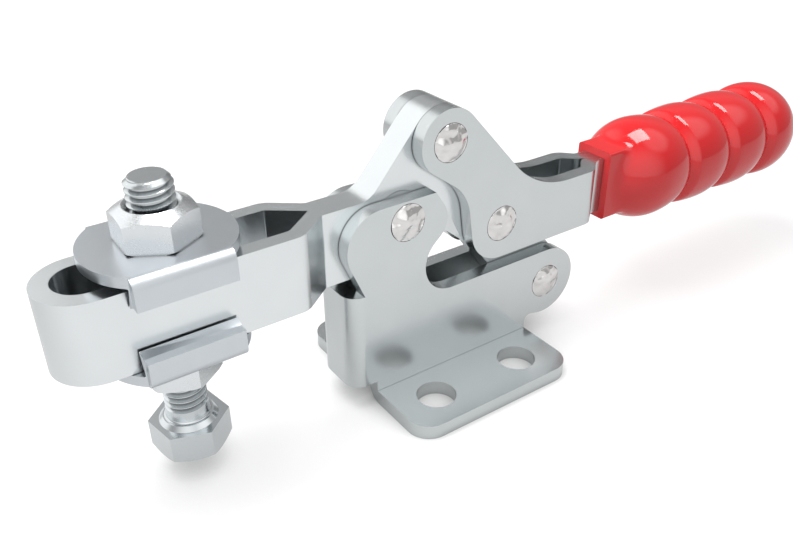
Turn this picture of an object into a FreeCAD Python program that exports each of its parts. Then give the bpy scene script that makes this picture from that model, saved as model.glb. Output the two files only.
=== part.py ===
import FreeCAD
import Part
import math
import os

from FreeCAD import Vector

# Horizontal toggle clamp with a slotted U-shaped arm, shown locked.
# X points from the spindle to the grip, Y across the clamp, Z up.
# The origin is the centre of the four base holes, on the underside of the base. Sizes in mm.

# Sheet and layers across the clamp
sheet = 3.2
side_clearance = 0.1
leaf_out = sheet
side_in = leaf_out + side_clearance
side_out = side_in + sheet

# Pivots in the side view, as (x, z), with the clamp locked
arm_pivot = (-12.5, 40.5)
handle_pivot = (-2.5, 54.4)
link_pivot = (11.6, 33.1)
rear_pivot = (26.0, 13.9)
rivet_radius = 4.0
rivet_dome = 0.9
rivet_rim = 0.25
bush_radius = 5.4
pivot_clearance = 0.05

# Base bracket
hole_pitch_x = 22.0
hole_pitch_y = 28.8
base_hole_radius = 4.2
flange_length = 40.8
base_width = 45.2
flange_corner = 5.0
flange_bend = 0.4
side_low = 5.7
lobe_fillet = 1.5
lobe_fillet_z = 4.9
web_front = -26.3
web_bend = 0.4
web_top = 27.3
side_top = 45.0
front_corner_x = -18.6
front_corner = 7.7
top_corner_x = -5.8
pivot_lobe_centre = (-8.1, 39.0)
pivot_lobe = 5.2
channel_end_x = -1.4
channel_end = 6.8

# Clamping arm
arm_top = 45.6
arm_bottom = 30.2
bar_half = 8.2
bar_bend = 0.8
nose_x = -71.7
leg_end_x = -37.2
neck_start_x = -29.1
arm_lobe = 6.8
neck_fillet = 5.5
neck_fillet_x = -21.6
tail_root = (-1.4, 37.8)
tail_root_fillet = 1.0
tail_tip = (4.1, 30.4)
tail_tip_radius = 0.5
tail_gap = 0.4

# Link
link_radius = 7.0

# Handle plates and grip
handle_lobe = 6.8
link_lobe = 8.0
bar_low = 25.1
bar_high = 38.2
cut_centre = (-8.2, 36.2)
cut_radius = 11.2
neck_curve = 21.0
neck_curve_x = 30.5
joggle_start = 37.0
joggle_end = 42.3
joggle_bend = 1.0
grip_gap = 2.7
tang_depth = 47.0
grip_wall = 1.8
grip_radius = 12.3
crests = (14.5, 30.4, 45.4, 58.1)
creases = (22.9, 37.9, 52.9)
crease_depth = 1.6
knee_reach = 2.0
knee_depth = 0.45
knee_round = 1.5
mouth_edge = 0.8
mouth_blend = 4.0
grip_start = joggle_end + grip_gap
tang_end = grip_start + tang_depth

# Spindle, nuts and flanged washers
spindle_x = -58.5
thread_radius = 4.0
thread_clearance = 0.05
across_flats = 13.0
nut_height = 6.5
nut_crown = 4.9
nut_seat = 6.9
nut_sink = 0.7
hex_chamfer_angle = 30.0
head_height = 6.1
head_bottom = 5.2
head_crown = 6.2
spindle_top = 60.2
tip_chamfer = 0.9
collar_foot = 5.5
collar_rim = 4.7
collar_height = 0.8
shank_fillet = 0.5
upper_hex_turn = 30.0
lower_hex_turn = 36.0
head_hex_turn = 40.8
washer_sheet = 2.0
washer_radius = 13.3
upper_washer_gap = 1.4
lower_washer_gap = 0.1
washer_bend = 2.0
washer_inner_bend = 0.3
flap_gap = 1.8
flap_length = 17.2
flap_depth = 5.5
washer_hole_clearance = 0.3


def tangent_edges(circles, place):
    """Closed outline of lines tangent to circles, taken counter-clockwise.

    Each circle is (u, v, radius): positive for a rounded corner, negative for a hollow one
    and 0 for a sharp corner. place turns (u, v) into a point.
    """
    count = len(circles)
    normals = []
    for i in range(count):
        u1, v1, r1 = circles[i]
        u2, v2, r2 = circles[(i + 1) % count]
        distance = math.hypot(u2 - u1, v2 - v1)
        heading = math.atan2(v2 - v1, u2 - u1)
        normals.append(heading - math.acos((r1 - r2) / distance))

    def on_circle(i, angle):
        u, v, r = circles[i]
        return place(u + r * math.cos(angle), v + r * math.sin(angle))

    edges = []
    for i in range(count):
        turn = (normals[i] - normals[i - 1]) % (2 * math.pi)
        if circles[i][2] < 0:
            turn -= 2 * math.pi
        if circles[i][2] != 0:
            start, middle, end = (on_circle(i, normals[i - 1] + turn * k) for k in (0, 0.5, 1))
            edges.append(Part.Arc(start, middle, end).toShape())
        start = on_circle(i, normals[i])
        end = on_circle((i + 1) % count, normals[i])
        if start.distanceToPoint(end) > 1e-6:
            edges.append(Part.LineSegment(start, end).toShape())
    return edges


def outline_face(circles, place):
    return Part.Face(Part.Wire(tangent_edges(circles, place)))


def side_plate(circles, y_low, y_high):
    """Sheet cut to a side-view outline, from y_low to y_high."""
    face = outline_face(circles, lambda x, z: Vector(x, y_low, z))
    return face.extrude(Vector(0, y_high - y_low, 0))


def plan_plate(circles, z_low, z_high):
    """Prism on a plan-view outline, from z_low to z_high."""
    face = outline_face(circles, lambda x, y: Vector(x, y, z_low))
    return face.extrude(Vector(0, 0, z_high - z_low))


def cross_pin(pivot, radius, y_low, y_high):
    base = Vector(pivot[0], y_low, pivot[1])
    return Part.makeCylinder(radius, y_high - y_low, base, Vector(0, 1, 0))


def upright_pin(x, y, radius, z_low, z_high):
    return Part.makeCylinder(radius, z_high - z_low, Vector(x, y, z_low))


def mirrored(shape):
    """The same piece on the other side of the clamp's middle plane."""
    return shape.mirror(Vector(0, 0, 0), Vector(0, 1, 0))


def joined(shapes):
    return shapes[0].fuse(shapes[1:]).removeSplitter()


def circle_at(point, radius):
    return (point[0], point[1], radius)


def base_bracket():
    bend_top = sheet + flange_bend
    web_outer_bend = web_bend + sheet
    web_edge = web_front + web_outer_bend
    rear_lobe = rear_pivot[1] - side_low
    half_length = flange_length / 2
    channel_floor = rear_pivot[1] + rear_lobe
    side = side_plate([
        (web_edge, side_low, 0),
        (-half_length, side_low, 0),
        (-half_length, bend_top, 0),
        (half_length, bend_top, 0),
        (half_length + lobe_fillet, lobe_fillet_z, -lobe_fillet),
        circle_at(rear_pivot, rear_lobe),
        (channel_end_x, channel_floor + channel_end, -channel_end),
        circle_at(pivot_lobe_centre, pivot_lobe),
        (top_corner_x, side_top, 0),
        (front_corner_x, side_top - front_corner, front_corner),
        (web_edge, web_top, 0),
    ], side_in, side_out)

    bend_y = side_out + flange_bend
    half_width = base_width / 2
    flange = plan_plate([
        (-half_length, bend_y, 0),
        (half_length, bend_y, 0),
        (half_length - flange_corner, half_width - flange_corner, flange_corner),
        (-half_length + flange_corner, half_width - flange_corner, flange_corner),
    ], 0, sheet)
    bend_axis = Vector(-half_length, bend_y, bend_top)
    bend = Part.makeCylinder(flange_bend + sheet, flange_length, bend_axis, Vector(1, 0, 0))
    bend = bend.cut(Part.makeCylinder(flange_bend, flange_length, bend_axis, Vector(1, 0, 0)))
    quarter = Part.makeBox(flange_length, flange_bend + sheet, bend_top,
                           Vector(-half_length, side_in, 0))
    bend = bend.common(quarter)

    half = joined([side, bend, flange])
    bend_offset = side_out - web_outer_bend
    web_lap = web_edge + sheet
    web = plan_plate([
        (web_lap, -side_out, 0),
        (web_lap, -side_in, 0),
        (web_edge, -bend_offset, -web_bend),
        (web_edge, bend_offset, -web_bend),
        (web_lap, side_in, 0),
        (web_lap, side_out, 0),
        (web_edge, bend_offset, web_outer_bend),
        (web_edge, -bend_offset, web_outer_bend),
    ], side_low, web_top)
    bracket = joined([half, mirrored(half), web])

    for x_side in (-1, 1):
        for y_side in (-1, 1):
            x = x_side * hole_pitch_x / 2
            y = y_side * hole_pitch_y / 2
            bracket = bracket.cut(upright_pin(x, y, base_hole_radius, -1, sheet + 1))
    for pivot in (arm_pivot, rear_pivot):
        bracket = bracket.cut(cross_pin(pivot, rivet_radius, -side_out - 1, side_out + 1))
    return bracket


def clamping_arm():
    outer_bend = bar_bend + sheet
    corner_y = bar_half - outer_bend
    neck_y = leaf_out + bar_bend
    reach = tail_tip[0] + sheet
    bar = plan_plate([
        (nose_x, 0, bar_half),
        (leg_end_x, -corner_y, outer_bend),
        (neck_start_x, -neck_y, -bar_bend),
        (reach, -leaf_out, 0),
        (reach, leaf_out, 0),
        (neck_start_x, neck_y, -bar_bend),
        (leg_end_x, corner_y, outer_bend),
    ], arm_bottom - sheet, handle_pivot[1] + 2 * arm_lobe)

    slope_x = neck_start_x - leg_end_x
    slope_y = neck_y - corner_y
    lean = math.hypot(slope_x, slope_y)
    slope = math.acos((outer_bend + bar_bend) / lean) - math.atan2(-slope_y, slope_x)
    slot_end_x = leg_end_x + (corner_y + bar_bend / math.sin(slope)) * math.tan(slope)
    slot = plan_plate([
        (nose_x, 0, bar_half - sheet),
        (leg_end_x, -corner_y, bar_bend),
        (slot_end_x, 0, 0),
        (leg_end_x, corner_y, bar_bend),
    ], arm_bottom - 2 * sheet, handle_pivot[1] + 3 * arm_lobe)

    past_nose = nose_x - 2 * bar_half
    side = side_plate([
        (past_nose, arm_bottom, 0),
        circle_at(arm_pivot, arm_pivot[1] - arm_bottom),
        circle_at(tail_root, -tail_root_fillet),
        circle_at(tail_tip, tail_tip_radius),
        circle_at(link_pivot, -link_radius - tail_gap),
        circle_at(handle_pivot, arm_lobe),
        (neck_fillet_x, arm_top + neck_fillet, -neck_fillet),
        (past_nose, arm_top, 0),
    ], -2 * bar_half, 2 * bar_half)

    arm = bar.cut(slot).common(side)
    for pivot in (arm_pivot, handle_pivot):
        arm = arm.cut(cross_pin(pivot, bush_radius + pivot_clearance, -side_out, side_out))
    return arm


def link_plate():
    plate = side_plate([
        circle_at(rear_pivot, link_radius),
        circle_at(link_pivot, link_radius),
    ], 0, leaf_out)
    for pivot in (rear_pivot, link_pivot):
        plate = plate.cut(cross_pin(pivot, bush_radius + pivot_clearance, -1, leaf_out + 1))
    return plate


def handle_plate():
    side = side_plate([
        circle_at(handle_pivot, handle_lobe),
        circle_at(cut_centre, -cut_radius),
        circle_at(link_pivot, link_lobe),
        (tang_end, bar_low, 0),
        (tang_end, bar_high, 0),
        (neck_curve_x, bar_high + neck_curve, -neck_curve),
    ], -side_out, side_out * 2)

    start = cut_centre[0] - 2 * cut_radius
    outer_bend = joggle_bend + sheet
    strip = plan_plate([
        (start, side_in, 0),
        (joggle_start, side_in - joggle_bend, -joggle_bend),
        (joggle_end, outer_bend, outer_bend),
        (tang_end, 0, 0),
        (tang_end, leaf_out, 0),
        (joggle_end, outer_bend, -joggle_bend),
        (joggle_start, side_in - joggle_bend, outer_bend),
        (start, side_out, 0),
    ], 0, handle_pivot[1] + 2 * handle_lobe)

    plate = strip.common(side)
    for pivot in (handle_pivot, link_pivot):
        plate = plate.cut(cross_pin(pivot, rivet_radius, 0, side_out + 1))
    return plate


def handle_grip():
    """Four lobes in a row, with a mouth round the tang. Lobes are measured from grip_start."""
    axis_z = (bar_low + bar_high) / 2
    first_crest = grip_start + crests[0]
    front_end = first_crest - grip_radius
    back_end = grip_start + crests[-1] + grip_radius

    def point(x, r):
        return Vector(x, 0, axis_z + r)

    def lobe_side(crest, end, depth):
        """Arc from the crest of a lobe to its end, which lies depth nearer to the axis."""
        reach = end - crest
        curve = (reach ** 2 + depth ** 2) / (2 * depth)
        middle_r = grip_radius - curve + math.sqrt(curve ** 2 - (reach / 2) ** 2)
        return Part.Arc(point(crest, grip_radius), point(crest + reach / 2, middle_r),
                        point(end, grip_radius - depth)).toShape()

    edges = [lobe_side(first_crest, front_end, grip_radius)]
    knees = []
    for i, setback in enumerate(creases):
        crease = grip_start + setback
        edges.append(lobe_side(grip_start + crests[i], crease, crease_depth))
        knees.append(crease + knee_reach)
        edges.append(Part.LineSegment(point(crease, grip_radius - crease_depth),
                                      point(knees[-1], grip_radius - knee_depth)).toShape())
        edges.append(lobe_side(grip_start + crests[i + 1], knees[-1], knee_depth))
    edges.append(lobe_side(back_end - grip_radius, back_end, grip_radius))
    edges.append(Part.LineSegment(point(back_end, 0), point(front_end, 0)).toShape())
    lobes = Part.Face(Part.Wire(edges)).revolve(point(0, 0), Vector(1, 0, 0), 360)
    rings = [e for e in lobes.Edges if e.BoundBox.XLength < pivot_clearance
             and min(abs(e.BoundBox.Center.x - knee) for knee in knees) < pivot_clearance]
    lobes = lobes.makeFillet(knee_round, rings)

    mouth_y = leaf_out + grip_wall
    mouth_low = bar_low - grip_wall
    mouth_high = bar_high + grip_wall
    mouth = Part.makeBox(crests[0], 2 * mouth_y, mouth_high - mouth_low,
                         Vector(grip_start, -mouth_y, mouth_low))
    long_edges = [e for e in mouth.Edges if e.BoundBox.XLength > grip_wall]
    mouth = mouth.makeFillet(mouth_edge, long_edges)
    grip = joined([lobes, mouth])
    front = grip_start + grip_wall / 2
    seam = [e for e in grip.Edges if front < e.BoundBox.XMin and e.BoundBox.XMax < first_crest]
    grip = grip.makeFillet(mouth_blend, seam)

    pocket = Part.makeBox(tang_end - grip_start, 2 * leaf_out, bar_high - bar_low,
                          Vector(grip_start, -leaf_out, bar_low))
    return grip.cut(pocket)


def rivet(pivot, y_low, y_high, domed_low, domed_high):
    """Rivet stem from y_low to y_high, with a low dome past each peened end."""
    x, z = pivot
    rim = rivet_radius
    dome = rivet_dome - rivet_rim

    def point(r, y):
        return Vector(x + r, y, z)

    ball = (rim ** 2 + dome ** 2) / (2 * dome)
    spread = math.asin(rim / ball) / 2
    half_r = ball * math.sin(spread)
    half_y = dome - ball * (1 - math.cos(spread))
    edges = []
    low = y_low - (rivet_rim if domed_low else 0)
    high = y_high + (rivet_rim if domed_high else 0)
    low_centre = point(0, low)
    high_centre = point(0, high)
    if domed_low:
        low_centre = point(0, low - dome)
        edges.append(Part.Arc(low_centre, point(half_r, low - half_y), point(rim, low)).toShape())
    else:
        edges.append(Part.LineSegment(low_centre, point(rim, low)).toShape())
    edges.append(Part.LineSegment(point(rim, low), point(rim, high)).toShape())
    if domed_high:
        high_centre = point(0, high + dome)
        edges.append(Part.Arc(point(rim, high), point(half_r, high + half_y),
                              high_centre).toShape())
    else:
        edges.append(Part.LineSegment(point(rim, high), high_centre).toShape())
    edges.append(Part.LineSegment(high_centre, low_centre).toShape())
    return Part.Face(Part.Wire(edges)).revolve(point(0, 0), Vector(0, 1, 0), 360)


def through_rivet(pivot):
    return rivet(pivot, -side_out, side_out, True, True)


def link_rivet():
    """Both ends of the upper link rivet, each set in its handle plate.

    The stem stops at the plates' inner faces, because the linkage is open here.
    """
    far_end = rivet(link_pivot, side_in, side_out, False, True)
    return Part.Compound([far_end, mirrored(far_end)])


def bush(pivot, half_length):
    outer = cross_pin(pivot, bush_radius, -half_length, half_length)
    return outer.cut(cross_pin(pivot, rivet_radius, -half_length - 1, half_length + 1))


def hexagon(x, z_low, height, turn, low_face, high_face):
    """Hexagonal prism with its corners turned off to cones.

    low_face and high_face are the radii left flat on its ends, or None for sharp corners.
    """
    corner = across_flats / math.sqrt(3)
    points = []
    for i in range(6):
        angle = math.radians(turn + 60 * i)
        points.append(Vector(x + corner * math.cos(angle), corner * math.sin(angle), z_low))
    prism = Part.Face(Part.makePolygon(points + points[:1])).extrude(Vector(0, 0, height))
    fall = math.tan(math.radians(hex_chamfer_angle))
    widening = height / fall
    base = Vector(x, 0, z_low)
    if low_face:
        prism = prism.common(Part.makeCone(low_face, low_face + widening, height, base))
    if high_face:
        prism = prism.common(Part.makeCone(high_face + widening, high_face, height, base))
    return prism


def nut(z_low, turn, low_face, high_face):
    body = hexagon(spindle_x, z_low, nut_height, turn, low_face, high_face)
    bore = thread_radius + thread_clearance
    body = body.cut(upright_pin(spindle_x, 0, bore, z_low - 1, z_low + nut_height + 1))
    for z, direction in ((z_low, 1), (z_low + nut_height, -1)):
        cone = Part.makeCone(bore + nut_sink, bore, nut_sink, Vector(spindle_x, 0, z),
                             Vector(0, 0, direction))
        body = body.cut(cone)
    return body


def spindle_bolt():
    head_top = head_bottom + head_height
    head = hexagon(spindle_x, head_bottom, head_height, head_hex_turn, head_crown, None)
    collar_top = head_top + collar_height
    fillet_end = collar_top + shank_fillet
    fillet_sag = shank_fillet * (1 - math.sqrt(0.5))

    def point(r, z):
        return Vector(spindle_x + r, 0, z)

    fillet = Part.Arc(point(thread_radius + shank_fillet, collar_top),
                      point(thread_radius + fillet_sag, collar_top + fillet_sag),
                      point(thread_radius, fillet_end)).toShape()
    below = Part.makePolygon([point(0, head_top), point(collar_foot, head_top),
                              point(collar_rim, collar_top),
                              point(thread_radius + shank_fillet, collar_top)])
    above = Part.makePolygon([point(thread_radius, fillet_end),
                              point(thread_radius, spindle_top - tip_chamfer),
                              point(thread_radius - tip_chamfer, spindle_top),
                              point(0, spindle_top), point(0, head_top)])
    profile = Part.Wire(below.Edges + [fillet] + above.Edges)
    shank = Part.Face(profile).revolve(point(0, 0), Vector(0, 0, 1), 360)
    return joined([head, shank])


def washer(seat, up):
    """Round washer whose two sides are folded over the legs of the arm.

    seat is the height of the face next to the arm. up is 1 above the arm and -1 below it.
    """
    flap_in = bar_half + flap_gap
    flap_out = flap_in + washer_sheet
    bend_y = flap_out - washer_bend
    inner_y = flap_in - washer_inner_bend
    bend_z = washer_sheet - washer_bend
    flap_tip = washer_sheet - flap_depth

    section = outline_face([
        (-flap_out, flap_tip, 0),
        (-flap_in, flap_tip, 0),
        (-inner_y, -washer_inner_bend, -washer_inner_bend),
        (inner_y, -washer_inner_bend, -washer_inner_bend),
        (flap_in, flap_tip, 0),
        (flap_out, flap_tip, 0),
        (bend_y, bend_z, washer_bend),
        (-bend_y, bend_z, washer_bend),
    ], lambda y, z: Vector(spindle_x - washer_radius, y, z))
    channel = section.extrude(Vector(2 * washer_radius, 0, 0))
    blank = upright_pin(spindle_x, 0, washer_radius, -flap_depth, flap_depth)
    flaps = Part.makeBox(flap_length, 4 * flap_out, 2 * flap_depth,
                         Vector(spindle_x - flap_length / 2, -2 * flap_out, -flap_depth))
    body = joined([channel.common(blank), channel.common(flaps)])
    hole = thread_radius + washer_hole_clearance
    body = body.cut(upright_pin(spindle_x, 0, hole, -flap_depth, flap_depth))
    if up < 0:
        body = body.mirror(Vector(0, 0, 0), Vector(0, 0, 1))
    body.translate(Vector(0, 0, seat))
    return body


def all_parts():
    plate = handle_plate()
    link = link_plate()
    upper_seat = arm_top + upper_washer_gap
    lower_seat = arm_bottom - lower_washer_gap
    nut_base = upper_seat + washer_sheet
    lower_nut_base = lower_seat - washer_sheet - nut_height
    return {
        "base_bracket": base_bracket(),
        "clamping_arm": clamping_arm(),
        "handle_plate_near": mirrored(plate),
        "handle_plate_far": plate,
        "handle_grip": handle_grip(),
        "link_plate_near": mirrored(link),
        "link_plate_far": link,
        "arm_rivet": through_rivet(arm_pivot),
        "handle_rivet": through_rivet(handle_pivot),
        "link_rivet": link_rivet(),
        "rear_rivet": through_rivet(rear_pivot),
        "arm_bush": bush(arm_pivot, side_in),
        "handle_bush": bush(handle_pivot, side_in),
        "link_bush": bush(link_pivot, leaf_out),
        "rear_bush": bush(rear_pivot, side_in),
        "spindle_bolt": spindle_bolt(),
        "upper_nut": nut(nut_base, upper_hex_turn, nut_seat, nut_crown),
        "lower_nut": nut(lower_nut_base, lower_hex_turn, nut_seat, nut_crown),
        "upper_washer": washer(upper_seat, 1),
        "lower_washer": washer(lower_seat, -1),
    }


os.makedirs("parts", exist_ok=True)
for name, shape in all_parts().items():
    solids = shape.Solids
    body = solids[0] if len(solids) == 1 else Part.Compound(solids)
    body.exportStep("parts/" + name + ".step")
    print(name, len(solids), "solid", round(body.Volume), "mm3", body.isValid())
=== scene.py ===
import math

import bpy
from mathutils import Matrix, Vector


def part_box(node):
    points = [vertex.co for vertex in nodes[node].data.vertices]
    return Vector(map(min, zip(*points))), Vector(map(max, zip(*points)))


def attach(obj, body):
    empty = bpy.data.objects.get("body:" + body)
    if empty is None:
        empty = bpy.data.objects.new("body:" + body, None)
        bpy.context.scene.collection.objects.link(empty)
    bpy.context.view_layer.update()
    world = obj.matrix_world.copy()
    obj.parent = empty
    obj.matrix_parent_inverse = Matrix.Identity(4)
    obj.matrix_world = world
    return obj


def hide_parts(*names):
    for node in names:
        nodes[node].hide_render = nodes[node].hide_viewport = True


# Horizontal toggle clamp in zinc-plated steel with a red moulded grip.
# Lengths in the dictionaries are in metres, mm turns millimetres into metres.

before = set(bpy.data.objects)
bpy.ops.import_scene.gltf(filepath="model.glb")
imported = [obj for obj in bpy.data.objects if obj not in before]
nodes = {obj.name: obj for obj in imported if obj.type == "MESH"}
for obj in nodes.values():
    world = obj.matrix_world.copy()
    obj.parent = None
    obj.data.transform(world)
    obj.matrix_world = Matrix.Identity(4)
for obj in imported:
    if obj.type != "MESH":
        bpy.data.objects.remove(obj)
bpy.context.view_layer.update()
mm = 0.001
weld = 0.001 * mm       # points closer than this are one point
cornerSamples = 12      # rays that look for a nearby surface


def hexToLinear(code):
    channels = [int(code[i:i + 2], 16) / 255 for i in (1, 3, 5)]
    linear = [c / 12.92 if c <= 0.04045 else ((c + 0.055) / 1.055) ** 2.4 for c in channels]
    return (*linear, 1.0)


def addNode(tree, kind, inputs=None, **settings):
    node = tree.nodes.new(kind)
    for name, value in settings.items():
        setattr(node, name, value)
    for name, value in (inputs or {}).items():
        socket = node.inputs[name]
        if isinstance(value, bpy.types.NodeSocket):
            tree.links.new(value, socket)
        else:
            socket.default_value = value
    return node


def startMaterial(name):
    material = bpy.data.materials.new(name)
    material.use_nodes = True
    tree = material.node_tree
    tree.nodes.clear()
    place = addNode(tree, "ShaderNodeTexCoord").outputs["Object"]
    return material, tree, place


def endMaterial(tree, shader):
    addNode(tree, "ShaderNodeOutputMaterial", {"Surface": shader.outputs[0]})


def pickOnly(piece):
    if bpy.context.mode != "OBJECT":
        bpy.ops.object.mode_set(mode="OBJECT")
    bpy.ops.object.select_all(action="DESELECT")
    piece.select_set(True)
    bpy.context.view_layer.objects.active = piece


def applyModifier(piece, kind, **settings):
    pickOnly(piece)
    modifier = piece.modifiers.new(kind.title(), kind)
    for name, value in settings.items():
        setattr(modifier, name, value)
    bpy.ops.object.modifier_apply(modifier=modifier.name)


def settle(piece, name):
    # the place goes into the mesh, so that the object itself sits at the origin
    pickOnly(piece)
    bpy.ops.object.transform_apply(location=True, rotation=True, scale=True)
    piece.name = name
    piece.data.name = name


def paint(piece, material):
    piece.data.materials.clear()
    piece.data.materials.append(material)


# Camera: same viewing angle and lens as the photograph.
cameraLook = {
    "eye": (-0.094048, -0.122026, 0.113422),
    "forward": (0.48517, 0.71199, -0.50762),
    "right": (0.82314, -0.56775, -0.00960),
    "up": (0.29504, 0.41319, 0.86153),
    "lens": 37.65,
    "clipStart": 0.01,
}

scene = bpy.context.scene
cameraData = bpy.data.cameras.new("camera")
cameraData.lens = cameraLook["lens"]
cameraData.clip_start = cameraLook["clipStart"]
camera = bpy.data.objects.new("camera", cameraData)
scene.collection.objects.link(camera)
columns = [Vector(cameraLook[k]) for k in ("right", "up", "forward", "eye")]
columns[2] = -columns[2]
rows = [[column[row] for column in columns] for row in range(3)]
camera.matrix_world = Matrix(rows + [[0, 0, 0, 1]])
scene.camera = camera
print("camera set")


# Studio: pale floor, one square softbox above, soft surroundings.
studioLook = {
    "ambient": 0.50,            # soft light from all round
    "backdrop": 1.0,            # white behind the clamp
    "roomTone": 0.50,           # what polished metal sees of the room
    "boxSize": 0.32,
    "boxHeight": 0.62,
    "boxPower": 3.6,
    "boxPlace": (-0.17, 0.13),  # from behind on the left, so shadows fall to the front right
    "squareAim": (0.10, 0.03, 0.99),
    "squareTurn": -9,           # degrees, as the square highlight on the grip lies
    "squareHalf": 0.26,         # half its width, one unit away
    "squareSoft": 0.03,         # share of it over which the edge fades
    "squareLevel": 10.0,
    "squareDeep": 0.05,         # share of it that is left after a second mirror bounce
    "deepTone": 0.30,           # soft light that the recesses gain there
    "deepFrom": 1.5,            # mirror bounces, so that the first is left as it is
}
panels = [
    # aim, inner and outer half angle in degrees, brightness over the room tone
    {"aim": (-0.45, 0.76, 0.47), "inner": 22, "outer": 42, "level": 0.90},
    {"aim": (0.42, -0.28, 0.86), "inner": 17, "outer": 32, "level": 1.10},
    {"aim": (-0.42, -0.80, 0.25), "inner": 5, "outer": 60, "level": 1.10},
    {"aim": (0.80, 0.60, 0.05), "inner": 8, "outer": 32, "level": -0.20},
]

world = bpy.data.worlds.new("studio")
scene.world = world
world.use_nodes = True
world.cycles.sampling_method = "NONE"
tree = world.node_tree
tree.nodes.clear()
direction = addNode(tree, "ShaderNodeTexCoord").outputs["Generated"]
tone = addNode(tree, "ShaderNodeValue").outputs[0]
tone.default_value = studioLook["roomTone"]
for panel in panels:
    aim = Vector(panel["aim"]).normalized()
    facing = addNode(tree, "ShaderNodeVectorMath", {0: direction, 1: aim}, operation="DOT_PRODUCT")
    glow = addNode(tree, "ShaderNodeMapRange", {
        "Value": facing.outputs["Value"],
        "From Min": math.cos(math.radians(panel["outer"])),
        "From Max": math.cos(math.radians(panel["inner"])),
        "To Min": 0.0,
        "To Max": panel["level"],
    }, interpolation_type="SMOOTHSTEP")
    tone = addNode(tree, "ShaderNodeMath", {0: tone, 1: glow.outputs[0]}, operation="ADD").outputs[0]

# the bright square that gloss shows of the softbox overhead
squareZ = Vector(studioLook["squareAim"]).normalized()
turn = math.radians(studioLook["squareTurn"])
squareX = Vector((math.cos(turn), math.sin(turn), 0))
squareX = (squareX - squareX.dot(squareZ) * squareZ).normalized()
squareY = squareZ.cross(squareX)
across, along, above = (
    addNode(tree, "ShaderNodeVectorMath", {0: direction, 1: axis}, operation="DOT_PRODUCT").outputs["Value"]
    for axis in (squareX, squareY, squareZ))
across, along = (
    addNode(tree, "ShaderNodeMath", {0: reach}, operation="ABSOLUTE").outputs[0] for reach in (across, along))
widest = addNode(tree, "ShaderNodeMath", {0: across, 1: along}, operation="MAXIMUM").outputs[0]
spread = addNode(tree, "ShaderNodeMath", {0: widest, 1: above}, operation="DIVIDE").outputs[0]
square = addNode(tree, "ShaderNodeMapRange", {
    "Value": spread,
    "From Min": studioLook["squareHalf"] * (1 + studioLook["squareSoft"]),
    "From Max": studioLook["squareHalf"] * (1 - studioLook["squareSoft"]),
    "To Min": 0.0, "To Max": studioLook["squareLevel"]}).outputs[0]
rays = addNode(tree, "ShaderNodeLightPath").outputs
deep = addNode(tree, "ShaderNodeMath", {
    0: rays["Glossy Depth"], 1: studioLook["deepFrom"]}, operation="GREATER_THAN").outputs[0]
left = addNode(tree, "ShaderNodeMapRange", {
    "Value": deep, "To Min": 1.0, "To Max": studioLook["squareDeep"]}).outputs[0]
square = addNode(tree, "ShaderNodeMath", {0: square, 1: left}, operation="MULTIPLY").outputs[0]
tone = addNode(tree, "ShaderNodeMath", {
    0: deep, 1: studioLook["deepTone"], 2: tone}, operation="MULTIPLY_ADD").outputs[0]
upper = addNode(tree, "ShaderNodeMath", {0: above, 1: 0.0}, operation="GREATER_THAN").outputs[0]
tone = addNode(tree, "ShaderNodeMath", {0: square, 1: upper, 2: tone}, operation="MULTIPLY_ADD").outputs[0]

room = addNode(tree, "ShaderNodeBackground", {"Strength": tone})
ambient = addNode(tree, "ShaderNodeBackground", {"Strength": studioLook["ambient"]})
backdrop = addNode(tree, "ShaderNodeBackground", {"Strength": studioLook["backdrop"]})
for shade in (room, ambient, backdrop):
    shade.inputs["Color"].default_value = (1, 1, 1, 1)
metalSees = addNode(tree, "ShaderNodeMixShader", {
    0: rays["Is Glossy Ray"], 1: ambient.outputs[0], 2: room.outputs[0]})
glassSees = addNode(tree, "ShaderNodeMath", {
    0: rays["Is Camera Ray"], 1: rays["Is Transmission Ray"]}, operation="MAXIMUM")
allSee = addNode(tree, "ShaderNodeMixShader", {
    0: glassSees.outputs[0], 1: metalSees.outputs[0], 2: backdrop.outputs[0]})
addNode(tree, "ShaderNodeOutputWorld", {"Surface": allSee.outputs[0]})

box = bpy.data.lights.new("softbox", "AREA")
box.shape = "SQUARE"
box.size = studioLook["boxSize"]
box.energy = studioLook["boxPower"]
boxObject = bpy.data.objects.new("softbox", box)
boxObject.location = (*studioLook["boxPlace"], studioLook["boxHeight"])
boxObject.rotation_euler = (-boxObject.location).to_track_quat("-Z", "Y").to_euler()
boxObject.visible_glossy = False    # gloss shows the square in the world instead
scene.collection.objects.link(boxObject)

floorLook = {
    "size": 3.0,
    "paper": "#9C9C9C",
    "glow": 0.22,               # light that comes back up from a large lit sheet
    "whiteForCamera": 0.54,     # lifts the paper near the clamp to the white of the backdrop
    "whiteFarAway": 0.80,       # and the far paper, which the softbox hardly lights
    "nearEdge": 0.20,
    "farEdge": 0.70,
    "frontForGloss": 0.47,      # the front of the sheet is lit more than the back
    "backForGloss": 0.18,
    "gradeWidth": 0.12,
    "underClamp": 22 * mm,      # painted shadow: the glow fades where the clamp covers the paper this closely
    "coverFrom": 0.10,          # how open the paper is where the glow starts and where it is full
    "coverTo": 0.75,
    "coverTone": 0.08,
}
bpy.ops.object.select_all(action="DESELECT")
bpy.ops.mesh.primitive_plane_add(size=floorLook["size"], location=(0, 0, 0))
floor = bpy.context.object
settle(floor, "floor")
paper, tree, place = startMaterial("white_paper_sweep")
paper.cycles.emission_sampling = "NONE"
rays = addNode(tree, "ShaderNodeLightPath").outputs
seen = addNode(tree, "ShaderNodeMath", {
    0: rays["Is Camera Ray"], 1: rays["Is Transmission Ray"]}, operation="MAXIMUM")
away = addNode(tree, "ShaderNodeVectorMath", {0: place}, operation="LENGTH").outputs["Value"]
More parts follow.
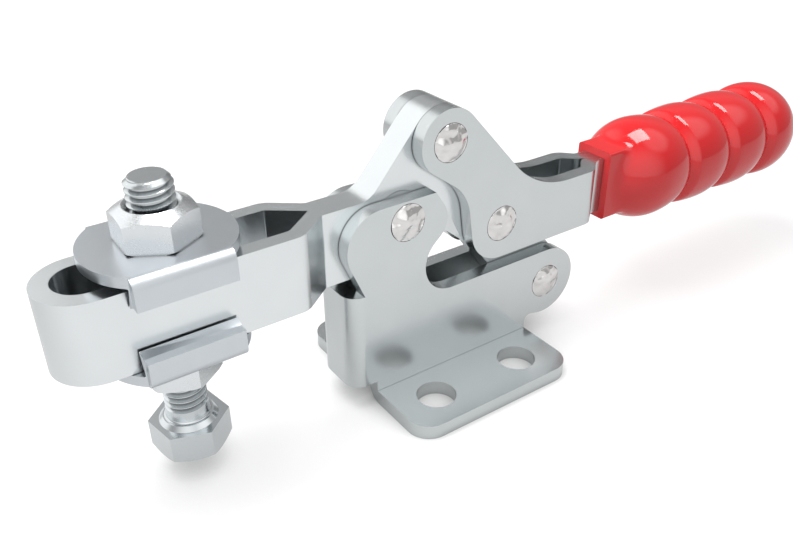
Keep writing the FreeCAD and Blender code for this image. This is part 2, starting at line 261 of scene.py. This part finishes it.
white = addNode(tree, "ShaderNodeMapRange", {
    "Value": away, "From Min": floorLook["nearEdge"], "From Max": floorLook["farEdge"],
    "To Min": floorLook["whiteForCamera"], "To Max": floorLook["whiteFarAway"]})
glow = addNode(tree, "ShaderNodeMath", {
    0: seen.outputs[0], 1: white.outputs[0], 2: floorLook["glow"]}, operation="MULTIPLY_ADD")
depth = addNode(tree, "ShaderNodeSeparateXYZ", {0: place}).outputs["Y"]
grade = addNode(tree, "ShaderNodeMapRange", {
    "Value": depth, "From Min": -floorLook["gradeWidth"] / 2, "From Max": floorLook["gradeWidth"] / 2,
    "To Min": floorLook["frontForGloss"], "To Max": floorLook["backForGloss"]})
glow = addNode(tree, "ShaderNodeMath", {
    0: rays["Is Glossy Ray"], 1: grade.outputs[0], 2: glow.outputs[0]}, operation="MULTIPLY_ADD")
# painted shadow: the floor's glow is dimmed where ambient occlusion finds the clamp close above
cover = addNode(tree, "ShaderNodeAmbientOcclusion", {"Distance": floorLook["underClamp"]}, samples=cornerSamples)
cover = addNode(tree, "ShaderNodeMapRange", {
    "Value": cover.outputs["AO"], "From Min": floorLook["coverFrom"], "From Max": floorLook["coverTo"],
    "To Min": floorLook["coverTone"], "To Max": 1.0})
glow = addNode(tree, "ShaderNodeMath", {0: glow.outputs[0], 1: cover.outputs[0]}, operation="MULTIPLY")
matt = addNode(tree, "ShaderNodeBsdfDiffuse", {"Color": hexToLinear(floorLook["paper"])})
light = addNode(tree, "ShaderNodeEmission", {"Strength": glow.outputs[0]})
endMaterial(tree, addNode(tree, "ShaderNodeAddShader", {0: matt.outputs[0], 1: light.outputs[0]}))
paint(floor, paper)
print("studio set")


# Zinc-plated cold-rolled sheet: a satin grey with blurred reflections, a fine grain
# and faint cloudy patches where the plating is thicker; tight corners get painted shade.
sheetLook = {
    "light": "#C7CBCC",
    "dark": "#C0C5C6",
    "patch": 7 * mm,
    "grain": 0.5 * mm,          # real grain is finer, drawn as coarse as it needs to show
    "roughMin": 0.21,
    "roughMax": 0.25,
    "corner": 0.9 * mm,
}
# The bracket shows no dark seam along its flanges, so its painted corner shade reaches over less width.
bracketLook = dict(sheetLook, corner=0.25 * mm)
# Painted light: the arm's copy of the sheet zinc is tinted a little lighter than the bracket and the handle, for the
# brighter reflections it shows.
armLook = dict(sheetLook, light="#D9DDDE", dark="#D3D7D9")

zincSpread = {
    "noiseLow": 0.7,            # the two noises add up to about this range
    "noiseHigh": 1.3,
    "tightCorner": 0.35,        # how open a spot is in a tight corner and on a plain face, for the painted corner shade
    "plainFace": 0.85,
    "paintedCornerShadeTone": 0.5,
}


def zincSheet(name, look):
    material, tree, place = startMaterial(name)
    patches = addNode(tree, "ShaderNodeTexNoise", {"Vector": place, "Scale": 1 / look["patch"], "Detail": 3.0})
    grain = addNode(tree, "ShaderNodeTexNoise", {
        "Vector": place, "Scale": 1 / look["grain"], "Detail": 4.0, "Roughness": 0.6})
    both = addNode(tree, "ShaderNodeMath", {0: patches.outputs[0], 1: grain.outputs[0]}, operation="ADD")
    rough = addNode(tree, "ShaderNodeMapRange", {
        "Value": both.outputs[0], "From Min": zincSpread["noiseLow"], "From Max": zincSpread["noiseHigh"],
        "To Min": look["roughMin"], "To Max": look["roughMax"]})
    tint = addNode(tree, "ShaderNodeMix", {
        0: patches.outputs[0], 6: hexToLinear(look["light"]), 7: hexToLinear(look["dark"])}, data_type="RGBA")
    # painted shade: tight corners, found by ambient occlusion, are darkened in the base colour
    corner = addNode(tree, "ShaderNodeAmbientOcclusion", {"Distance": look["corner"]}, samples=cornerSamples)
    cornerShade = addNode(tree, "ShaderNodeMapRange", {
        "Value": corner.outputs["AO"], "From Min": zincSpread["tightCorner"], "From Max": zincSpread["plainFace"],
        "To Min": zincSpread["paintedCornerShadeTone"], "To Max": 1.0})
    cornerShadedTint = addNode(tree, "ShaderNodeMix", {
        0: 1.0, 6: tint.outputs[2], 7: cornerShade.outputs[0]}, data_type="RGBA", blend_type="MULTIPLY")
    steel = addNode(tree, "ShaderNodeBsdfPrincipled", {
        "Base Color": cornerShadedTint.outputs[2], "Metallic": 1.0, "Roughness": rough.outputs[0]})
    endMaterial(tree, steel)
    return material


satinSheet = zincSheet("satin_zinc_plated_sheet", sheetLook)
bracketSheet = zincSheet("satin_zinc_plated_bracket_sheet", bracketLook)
armSheetPaintedLighter = zincSheet("zinc_plated_arm_sheet_painted_lighter", armLook)

# Cold-formed bolt steel with bright zinc: smoother than the sheet, with sharper reflections.
boltLook = {
    "light": "#CED2D4",
    "dark": "#C5CACC",
    "patch": 4 * mm,
    "grain": 0.3 * mm,
    "roughMin": 0.16,
    "roughMax": 0.20,
    "corner": 0.9 * mm,
}
boltSteel = zincSheet("bright_zinc_plated_bolt_steel", boltLook)
# Cold-formed nuts: the same zinc, more matt.
nutLook = dict(boltLook, light="#D8DBDD", dark="#D3D6D8", roughMin=0.26, roughMax=0.28)
nutSteel = zincSheet("zinc_plated_nut_steel", nutLook)

# Pressed washer: zinc over a pressed sheet, a little bluer than the arm.
washerLook = {
    "light": "#C7CBCE",
    "dark": "#BDC3C8",
    "patch": 6 * mm,
    "grain": 0.45 * mm,
    "roughMin": 0.30,
    "roughMax": 0.35,
    "corner": 0.9 * mm,
}
washerSteel = zincSheet("blue_zinc_pressed_washer", washerLook)

# Peened rivet heads: soft steel hammered over, bright and slightly warm, with small dents.
rivetLook = {
    "light": "#DDDCDB",
    "dark": "#C9C7C6",
    "patch": 2 * mm,
    "grain": 0.6 * mm,
    "roughMin": 0.12,
    "roughMax": 0.18,
    "corner": 0.3 * mm,
}
peenedSteel = zincSheet("peened_rivet_steel", rivetLook)

# Injection-moulded grip: a clear bright red with a gloss skin that mirrors the softbox.
gripLook = {
    "red": "#E91C22",
    "roughness": 0.09,
    "ior": 1.55,
    "wave": 9 * mm,
    "waveHeight": 0.02 * mm,
    "skin": 0.6 * mm,
    "skinHeight": 0.0012 * mm,
}
gripPlastic, tree, place = startMaterial("gloss_moulded_red_plastic")
wave = addNode(tree, "ShaderNodeTexNoise", {"Vector": place, "Scale": 1 / gripLook["wave"], "Detail": 1.0})
skin = addNode(tree, "ShaderNodeTexNoise", {"Vector": place, "Scale": 1 / gripLook["skin"], "Detail": 2.0})
slow = addNode(tree, "ShaderNodeBump", {"Height": wave.outputs[0], "Strength": 1.0, "Distance": gripLook["waveHeight"]})
fine = addNode(tree, "ShaderNodeBump", {
    "Height": skin.outputs[0], "Strength": 1.0, "Distance": gripLook["skinHeight"], "Normal": slow.outputs[0]})
plastic = addNode(tree, "ShaderNodeBsdfPrincipled", {
    "Base Color": hexToLinear(gripLook["red"]),
    "Roughness": gripLook["roughness"],
    "IOR": gripLook["ior"],
    "Normal": fine.outputs[0],
})
endMaterial(tree, plastic)

paint(nodes["clamping_arm"], armSheetPaintedLighter)
for name in ("handle_plate_near", "handle_plate_far", "link_plate_near", "link_plate_far"):
    paint(nodes[name], satinSheet)
for name in ("arm_bush", "handle_bush", "link_bush", "rear_bush"):
    paint(nodes[name], boltSteel)
for name in ("upper_nut", "lower_nut"):
    paint(nodes[name], nutSteel)
print("materials made")


# Rivets: peened heads with a fine dark gap round them.
rivetShape = {
    "sides": 96,
    "radius": 4.0 * mm,
    "plateFace": 6.50 * mm,     # outer face of the plates
    "gap": 0.09 * mm,
    "gapDepth": 0.20 * mm,
    "gapWall": 0.02 * mm,       # slope of its walls
    "rings": 14,
    "rim": 0.12 * mm,
    "domeHeight": 0.95 * mm,
    "proud": 0.05 * mm,         # what stands this far out of the plate was struck
    "dentLevel": 0.6,
    "near": 0.01 * mm,
    "smooth": 40,
}
blows = {
    # size and depth of the dents that the hammer left
    "hammer_dents": (1.9 * mm, 0.66 * mm),
    "fine_dents": (0.8 * mm, 0.10 * mm),
}
rivets = {
    "arm_rivet": "base",
    "handle_rivet": "handle",
    "link_rivet": "handle",
    "rear_rivet": "base",
}


def peenEnd(side, floorY):
    # side is -1 for the near head and 1 for the far one
    shape = rivetShape
    mesh = bpy.context.object.data
    bpy.ops.mesh.select_all(action="DESELECT")
    bpy.ops.object.mode_set(mode="OBJECT")
    for face in mesh.polygons:
        face.select = face.normal.y * side > 0.9 and abs(face.center.y - floorY) < shape["near"]
    bpy.ops.object.mode_set(mode="EDIT")
    bpy.ops.mesh.inset(thickness=shape["gap"], depth=0)
    bpy.ops.mesh.inset(thickness=shape["gapWall"], depth=shape["gapDepth"])
    radius = shape["radius"] - shape["gap"] - shape["gapWall"]
    bpy.ops.mesh.inset(thickness=shape["rim"] / 2, depth=shape["rim"])
    radius -= shape["rim"] / 2
    step = radius / shape["rings"]
    for ring in range(shape["rings"] - 1):
        outer, inner = (1 - k / shape["rings"] for k in (ring, ring + 1))
        rise = (shape["domeHeight"] - shape["rim"]) * (outer ** 2 - inner ** 2)
        bpy.ops.mesh.inset(thickness=step, depth=rise)
    bpy.ops.mesh.poke()


def rivetBody(name, centre, low, high, ends):
    shape = rivetShape
    bpy.ops.object.select_all(action="DESELECT")
    bpy.ops.mesh.primitive_cylinder_add(
        vertices=shape["sides"], radius=shape["radius"], depth=high - low,
        location=(centre.x, (low + high) / 2, centre.z), rotation=(math.radians(90), 0, 0))
    piece = bpy.context.object
    settle(piece, name)
    bpy.ops.object.mode_set(mode="EDIT")
    for side in ends:
        peenEnd(side, high if side > 0 else low)
    bpy.ops.object.mode_set(mode="OBJECT")
    return piece


def boxCentre(node):
    low, high = (Vector(corner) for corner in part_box(node))
    return (low + high) / 2


for name, body in rivets.items():
    centre = boxCentre(name)
    foot = rivetShape["plateFace"] - rivetShape["gapDepth"]
    if name == "link_rivet":
        inner = min(abs(v.co.y) for v in nodes[name].data.vertices)
        piece = rivetBody("link_rivet_head", centre, -foot, -inner, (-1,))
        other = rivetBody("other_end", centre, inner, foot, (1,))
        piece.select_set(True)
        bpy.context.view_layer.objects.active = piece
        bpy.ops.object.join()
    else:
        piece = rivetBody(name + "_peened", centre, -foot, foot, (-1, 1))
    struck = piece.vertex_groups.new(name="struck")
    proud = rivetShape["plateFace"] + rivetShape["proud"]
    struck.add([v.index for v in piece.data.vertices if abs(v.co.y) > proud], 1.0, "REPLACE")
    for blow, (dentSize, dentDepth) in blows.items():
        dents = bpy.data.textures.new(blow, "CLOUDS")
        dents.noise_scale = dentSize
        dents.noise_depth = 0
        applyModifier(piece, "DISPLACE", texture=dents, texture_coords="LOCAL", strength=dentDepth,
                      mid_level=rivetShape["dentLevel"], vertex_group="struck")
    pickOnly(piece)
    bpy.ops.object.shade_smooth_by_angle(angle=math.radians(rivetShape["smooth"]))
    paint(piece, peenedSteel)
    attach(piece, body)
    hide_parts(name)
print("rivets peened")


# A CAD node is loose triangles, so its copy is merged before any work on it.
def mergedCopy(node, name):
    pickOnly(nodes[node])
    bpy.ops.object.duplicate()
    piece = bpy.context.object
    piece.parent = None
    piece.name = name
    piece.data.name = name
    bpy.ops.object.mode_set(mode="EDIT")
    bpy.ops.mesh.customdata_custom_splitnormals_clear()
    bpy.ops.mesh.select_all(action="SELECT")
    bpy.ops.mesh.remove_doubles(threshold=weld)
    bpy.ops.object.mode_set(mode="OBJECT")
    return piece


# Bracket: the flanges meet the side plates in sharp inner corners, without a bright line.
bendShape = {
    "plateFace": 6.50 * mm,
    "flangeTop": 3.20 * mm,
    "bend": 0.40 * mm,
    "near": 0.01 * mm,
    "smooth": 40,
}
bracket = mergedCopy("base_bracket", "folded_bracket")
for side in (-1, 1):
    pickOnly(bracket)
    bpy.ops.object.mode_set(mode="EDIT")
    bpy.ops.mesh.select_all(action="DESELECT")
    bpy.ops.object.mode_set(mode="OBJECT")
    for vertex in bracket.data.vertices:
        out = vertex.co.y * side - bendShape["plateFace"]
        up = vertex.co.z - bendShape["flangeTop"]
        vertex.select = all(
            -bendShape["near"] < reach < bendShape["bend"] + bendShape["near"] for reach in (out, up))
    print("inner corner sharpened:", sum(vertex.select for vertex in bracket.data.vertices), "points")
    bpy.ops.object.mode_set(mode="EDIT")
    corner = (0, side * bendShape["plateFace"], bendShape["flangeTop"])
    bpy.ops.transform.resize(value=(1, 0, 0), center_override=corner)
    bpy.ops.mesh.remove_doubles(threshold=weld)
    bpy.ops.object.mode_set(mode="OBJECT")
pickOnly(bracket)
bpy.ops.object.shade_smooth_by_angle(angle=math.radians(bendShape["smooth"]))
applyModifier(bracket, "WEIGHTED_NORMAL", keep_sharp=True)
paint(bracket, bracketSheet)
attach(bracket, "base")
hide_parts("base_bracket")


# Washers: the tip of each flap is cut on a slant, and its inner edge nearly touches the arm.
flapShape = {
    "inside": 10.0 * mm,
    "narrow": 0.862,
    "slant": 0.8 * mm,
    "near": 0.05 * mm,
    "smooth": 30,
}
for node, side in (("upper_washer", -1), ("lower_washer", 1)):
    washer = mergedCopy(node, node.replace("washer", "flanged_washer"))
    tip = max(vertex.co.z * side for vertex in washer.data.vertices)
    bpy.ops.object.mode_set(mode="EDIT")
    bpy.ops.mesh.select_all(action="DESELECT")
    bpy.ops.object.mode_set(mode="OBJECT")
    for vertex in washer.data.vertices:
        atTip = abs(vertex.co.z * side - tip) < flapShape["near"]
        vertex.select = atTip and abs(abs(vertex.co.y) - flapShape["inside"]) < flapShape["near"]
    print("flap tips slanted:", sum(vertex.select for vertex in washer.data.vertices), "points")
    bpy.ops.object.mode_set(mode="EDIT")
    bpy.ops.transform.resize(value=(1, flapShape["narrow"], 1), center_override=(0, 0, 0))
    bpy.ops.transform.translate(value=(0, 0, side * flapShape["slant"]))
    bpy.ops.object.mode_set(mode="OBJECT")
    bpy.ops.object.shade_smooth_by_angle(angle=math.radians(flapShape["smooth"]))
    paint(washer, washerSteel)
    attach(washer, "carrier")
    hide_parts(node)


# Grip: the creases between the lobes are drawn in a little tighter than the moulded solid's.
creaseShape = {
    "places": (67.9 * mm, 82.9 * mm, 97.9 * mm),
    "radius": 10.7 * mm,
    "squeeze": 0.93,
    "nearPlace": 0.02 * mm,
    "nearRadius": 0.1 * mm,
    "smooth": 30,
}
grip = mergedCopy("handle_grip", "lobed_grip")
gripAxis = boxCentre("handle_grip")
for crease in creaseShape["places"]:
    pickOnly(grip)
    bpy.ops.object.mode_set(mode="EDIT")
    bpy.ops.mesh.select_all(action="DESELECT")
    bpy.ops.object.mode_set(mode="OBJECT")
    ring = 0
    for vertex in grip.data.vertices:
        fromAxis = math.hypot(vertex.co.y, vertex.co.z - gripAxis.z)
        atCrease = abs(vertex.co.x - crease) < creaseShape["nearPlace"]
        vertex.select = atCrease and abs(fromAxis - creaseShape["radius"]) < creaseShape["nearRadius"]
        ring += vertex.select
    bpy.ops.object.mode_set(mode="EDIT")
    bpy.ops.transform.resize(value=(1, creaseShape["squeeze"], creaseShape["squeeze"]),
                             center_override=(crease, 0, gripAxis.z))
    bpy.ops.object.mode_set(mode="OBJECT")
    print("crease drawn in:", ring, "points")
pickOnly(grip)
bpy.ops.object.shade_smooth_by_angle(angle=math.radians(creaseShape["smooth"]))
paint(grip, gripPlastic)
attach(grip, "handle")
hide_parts("handle_grip")


# Spindle: hexagon bolt with a cut M8 thread.
threadShape = {
    "pitch": 1.25 * mm,
    "crest": 4.0 * mm,
    "root": 3.233 * mm,
    "crestFlat": 0.156 * mm,
    "rootFlat": 0.312 * mm,
    "start": 14.3 * mm,
    "end": 61.5 * mm,
    "steps": 48,
    "beyond": 0.4 * mm,         # the cutter stands this far out of the crest
    "smooth": 28,
}
spindle = mergedCopy("spindle_bolt", "threaded_spindle")
shape = threadShape
axisPoint = boxCentre("spindle_bolt")
halfWide = (shape["pitch"] - shape["crestFlat"]) / 2
outside = shape["crest"] + shape["beyond"]
profile = [
    (shape["root"], -shape["rootFlat"] / 2), (shape["root"], shape["rootFlat"] / 2),
    (shape["crest"], halfWide), (outside, halfWide),
    (outside, -halfWide), (shape["crest"], -halfWide),
]
turns = int((shape["end"] - shape["start"]) / shape["pitch"])
bpy.ops.object.select_all(action="DESELECT")
bpy.ops.mesh.primitive_circle_add(vertices=len(profile), radius=shape["crest"])
cutter = bpy.context.object
cutter.name = "groove"
for vertex, (reach, height) in zip(cutter.data.vertices, profile):
    vertex.co = (reach, 0, height)
applyModifier(cutter, "SCREW", screw_offset=shape["pitch"], iterations=turns, steps=shape["steps"],
              render_steps=shape["steps"], use_merge_vertices=False)
bpy.ops.object.mode_set(mode="EDIT")
bpy.ops.mesh.select_all(action="SELECT")
bpy.ops.mesh.fill_holes(sides=len(profile))
bpy.ops.mesh.normals_make_consistent(inside=False)
bpy.ops.object.mode_set(mode="OBJECT")
cutter.location = (axisPoint.x, axisPoint.y, shape["start"])
bpy.context.view_layer.update()
applyModifier(spindle, "BOOLEAN", object=cutter, operation="DIFFERENCE", solver="EXACT")
bpy.data.objects.remove(cutter)
pickOnly(spindle)
bpy.ops.object.shade_smooth_by_angle(angle=math.radians(shape["smooth"]))
paint(spindle, boltSteel)
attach(spindle, "spindle")
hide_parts("spindle_bolt")
print("spindle threaded:", len(spindle.data.polygons), "faces")

scene.view_settings.view_transform = "Standard"
print("scene finished")
